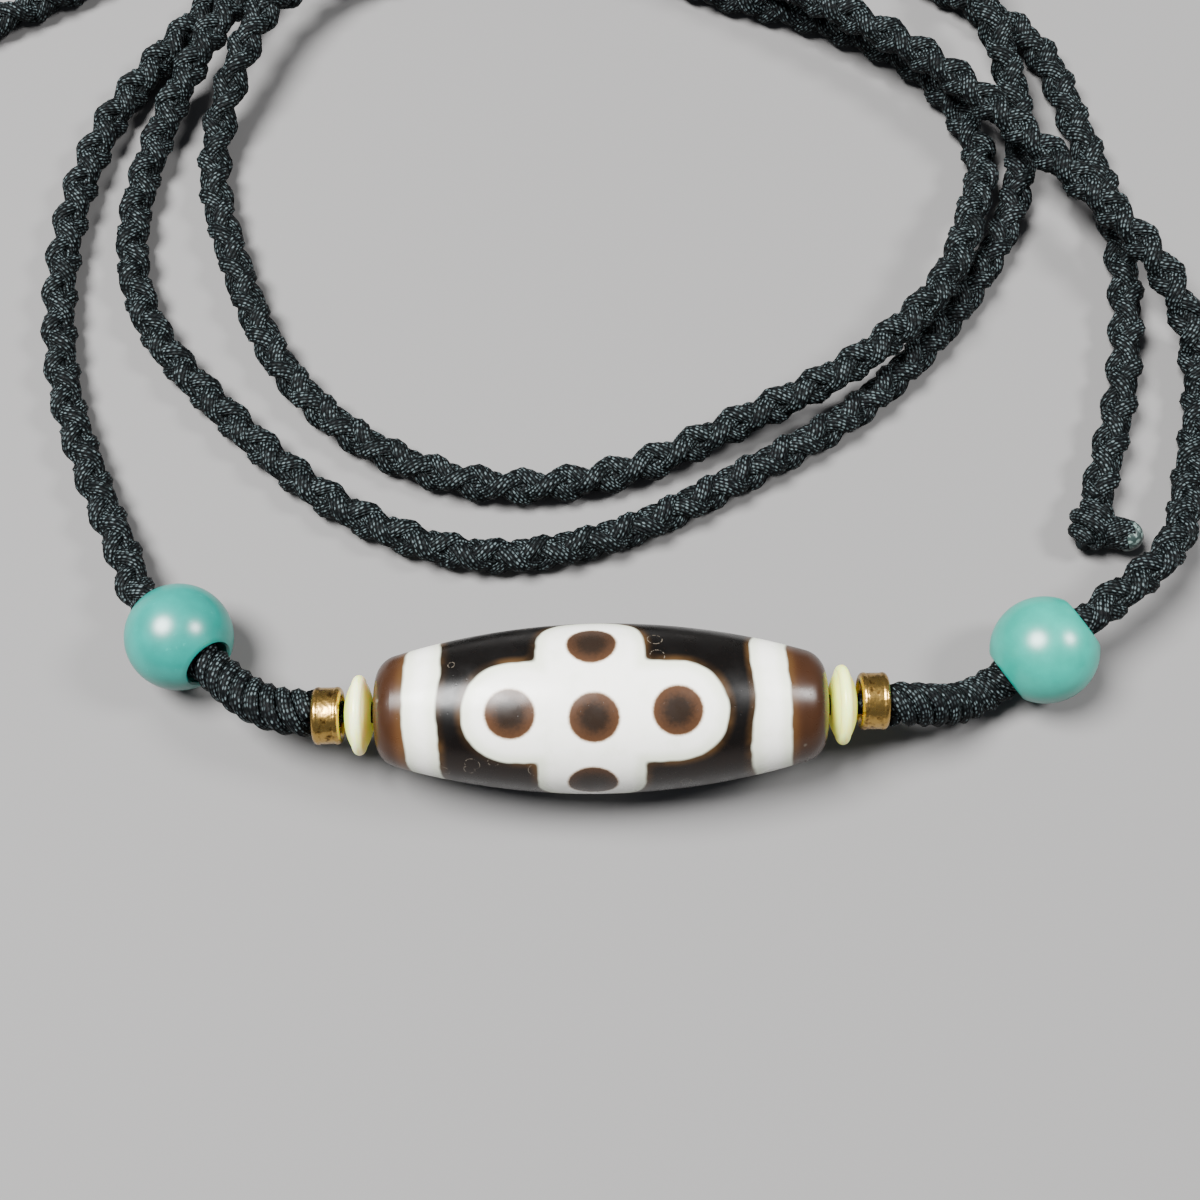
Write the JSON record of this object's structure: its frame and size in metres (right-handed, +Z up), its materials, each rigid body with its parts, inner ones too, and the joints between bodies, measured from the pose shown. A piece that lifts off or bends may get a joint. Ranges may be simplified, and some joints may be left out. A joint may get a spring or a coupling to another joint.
{
  "type": "dzi bead necklace",
  "caption": "Etched agate dzi bead between turquoise beads on a long adjustable braided black cord, lying in loose loops.",
  "frame": {"origin": "on the surface it lies on, under the middle of the bead string's box", "axes": "+X to the right along the bead string, +Y from the bead string towards the looped cords, +Z up"},
  "size_m": [0.1291, 0.1178, 0.0144],
  "materials": {
    "dzi_agate": "satin",
    "yellow_stone": "glossy",
    "gold_metal": "satin",
    "turquoise_stone": "glossy",
    "braided_cord": "matte",
    "knot_thread": "matte"
  },
  "bodies": {
    "root": {"dzi_bead": "dzi_agate", "disc_left": "yellow_stone", "disc_right": "yellow_stone", "spacer_left": "gold_metal", "spacer_right": "gold_metal", "turquoise_left": "turquoise_stone", "turquoise_right": "turquoise_stone", "thread": "knot_thread", "sleeve_left": "knot_thread", "sleeve_right": "knot_thread", "cord_left": "braided_cord", "cord_right": "braided_cord", "sliding_knot": "knot_thread", "end_knot_left": "knot_thread", "end_knot_right": "knot_thread"}
  },
  "joints": []
}
